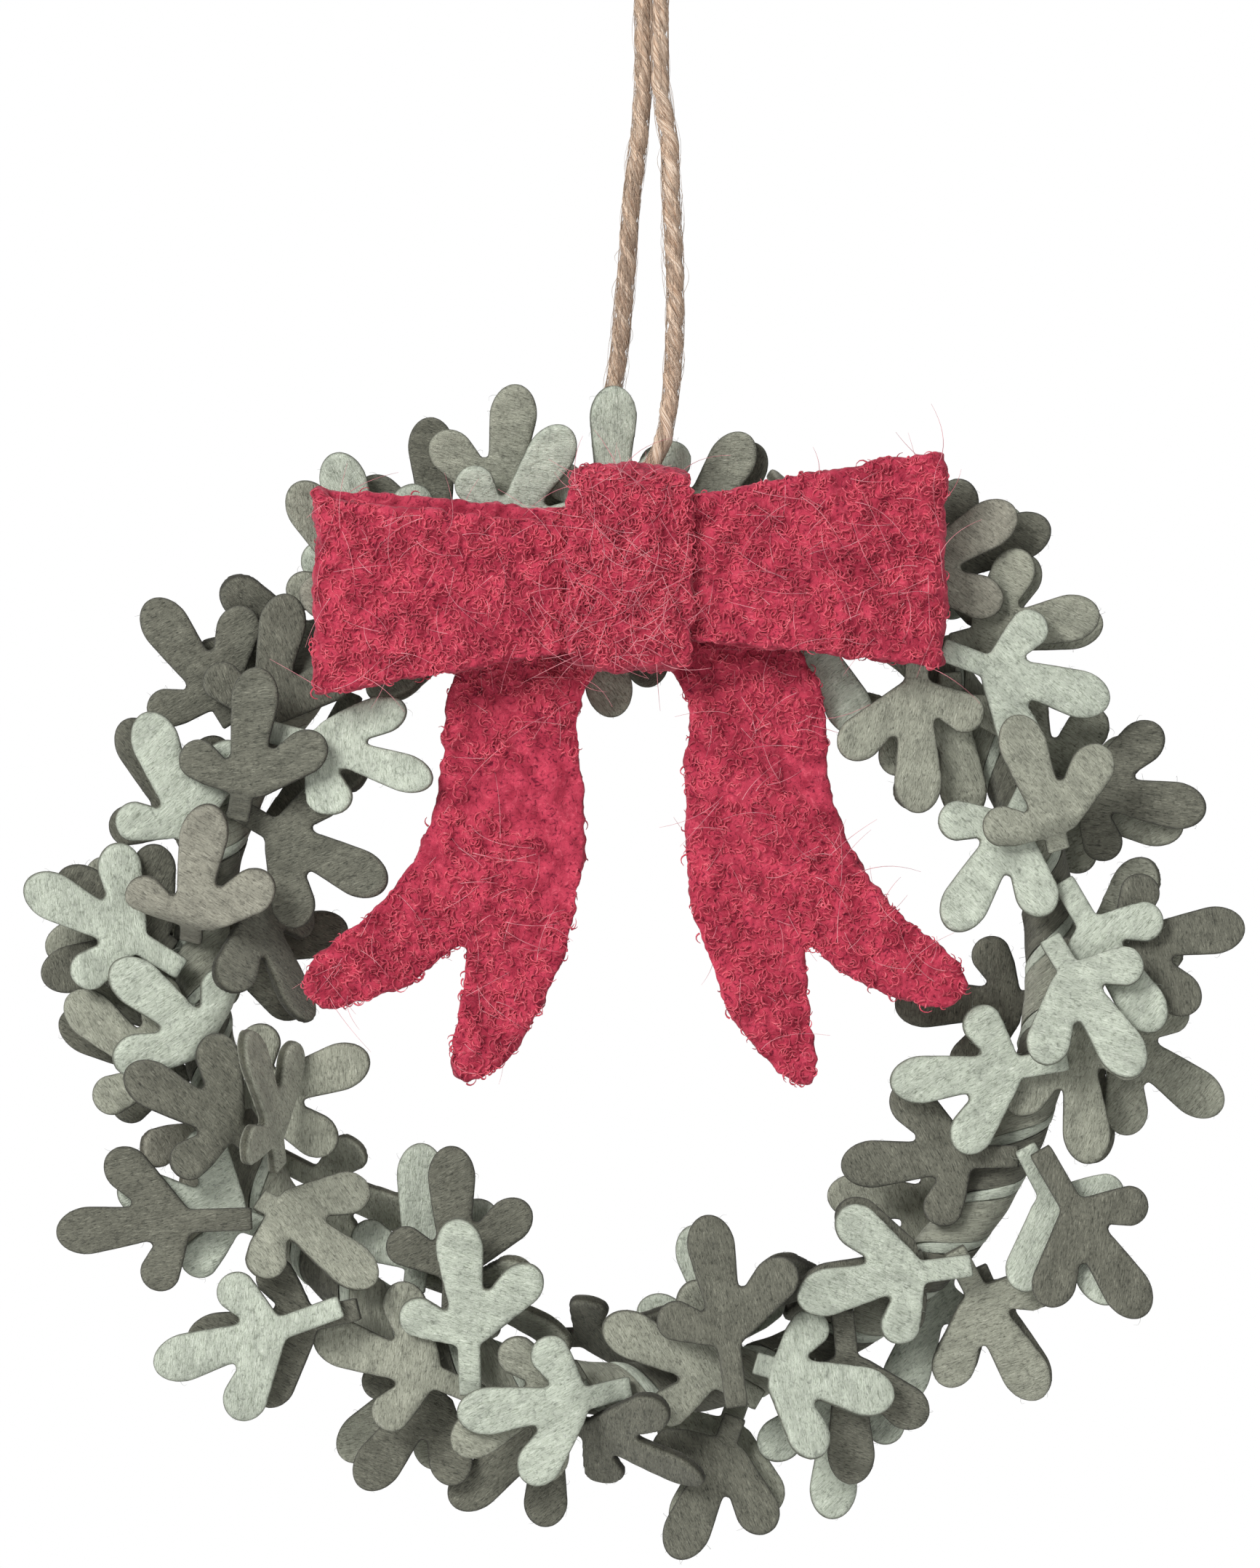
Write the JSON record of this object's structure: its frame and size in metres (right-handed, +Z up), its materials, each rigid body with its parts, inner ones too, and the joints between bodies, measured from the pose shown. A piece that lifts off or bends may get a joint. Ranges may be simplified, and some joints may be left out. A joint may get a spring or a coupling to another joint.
{
  "type": "christmas tree ornament",
  "caption": "Felt mistletoe wreath ornament: a twisted felt rope hoop covered in die-cut leaf sprigs, with a red boiled wool bow in front and a knotted jute hanging loop.",
  "frame": {"origin": "the inside top of the cord's eye, where the hook or branch bears", "axes": "+X to the right of the picture, +Y away from the viewer through the wreath, +Z up along the hanging cord"},
  "size_m": [0.1465, 0.0234, 0.2098],
  "materials": {
    "felt_mint": "pale grey-green pressed wool felt, matte, with short loose fibres",
    "felt_sage": "mid grey-green pressed wool felt, flecked, matte",
    "felt_olive": "dark olive-grey pressed wool felt, flecked, matte",
    "boiled_wool_red": "red boiled wool with a curly boucle face and long stray fibres",
    "jute": "natural two-ply jute twine, slightly hairy",
    "steel_wire": "bare craft wire, hidden in the rope",
    "hot_glue": "clouded hot-melt glue bead"
  },
  "bodies": {
    "root": {"cord_legs": "jute", "cord_eye": "jute", "cord_knot": "jute"},
    "wreath": {"hoop_wire": "steel_wire", "rope_strip_sage": "felt_sage", "rope_strip_mint": "felt_mint", "rope_strip_olive": "felt_olive", "sprig_01_olive": "felt_olive", "sprig_02_mint": "felt_mint", "sprig_03_mint": "felt_mint", "sprig_04_olive": "felt_olive", "sprig_05_mint": "felt_mint", "sprig_06_sage": "felt_sage", "sprig_07_olive": "felt_olive", "sprig_08_mint": "felt_mint", "sprig_09_olive": "felt_olive", "sprig_10_sage": "felt_sage", "sprig_11_sage": "felt_sage", "sprig_12_sage": "felt_sage", "sprig_13_sage": "felt_sage", "sprig_14_sage": "felt_sage", "sprig_15_sage": "felt_sage", "sprig_16_mint": "felt_mint", "sprig_17_mint": "felt_mint", "sprig_18_sage": "felt_sage", "sprig_19_olive": "felt_olive", "sprig_20_sage": "felt_sage", "sprig_21_sage": "felt_sage", "sprig_22_olive": "felt_olive", "sprig_23_olive": "felt_olive", "sprig_24_olive": "felt_olive", "sprig_25_olive": "felt_olive", "sprig_26_sage": "felt_sage", "sprig_27_sage": "felt_sage", "sprig_28_olive": "felt_olive", "sprig_29_sage": "felt_sage", "sprig_30_sage": "felt_sage", "sprig_31_sage": "felt_sage", "sprig_32_sage": "felt_sage", "sprig_33_sage": "felt_sage", "sprig_34_mint": "felt_mint", "sprig_35_mint": "felt_mint", "sprig_36_mint": "felt_mint", "sprig_37_mint": "felt_mint", "sprig_38_mint": "felt_mint", "sprig_39_mint": "felt_mint", "sprig_40_mint": "felt_mint", "sprig_41_mint": "felt_mint", "sprig_42_mint": "felt_mint", "sprig_43_mint": "felt_mint", "sprig_44_mint": "felt_mint", "sprig_45_mint": "felt_mint", "sprig_46_mint": "felt_mint", "sprig_47_mint": "felt_mint", "bow_knot_band": "boiled_wool_red", "bow_tail_left": "boiled_wool_red", "bow_tail_right": "boiled_wool_red", "bow_loop_left": "boiled_wool_red", "bow_loop_right": "boiled_wool_red", "bow_glue": "hot_glue"}
  },
  "joints": [
    {"name": "wreath_tilt", "type": "hinge", "parent": "root", "child": "wreath", "pos_m": [-0.004, 0, -0.0851], "axis": [1, 0, 0], "range_deg": [-7, 12]}
  ]
}
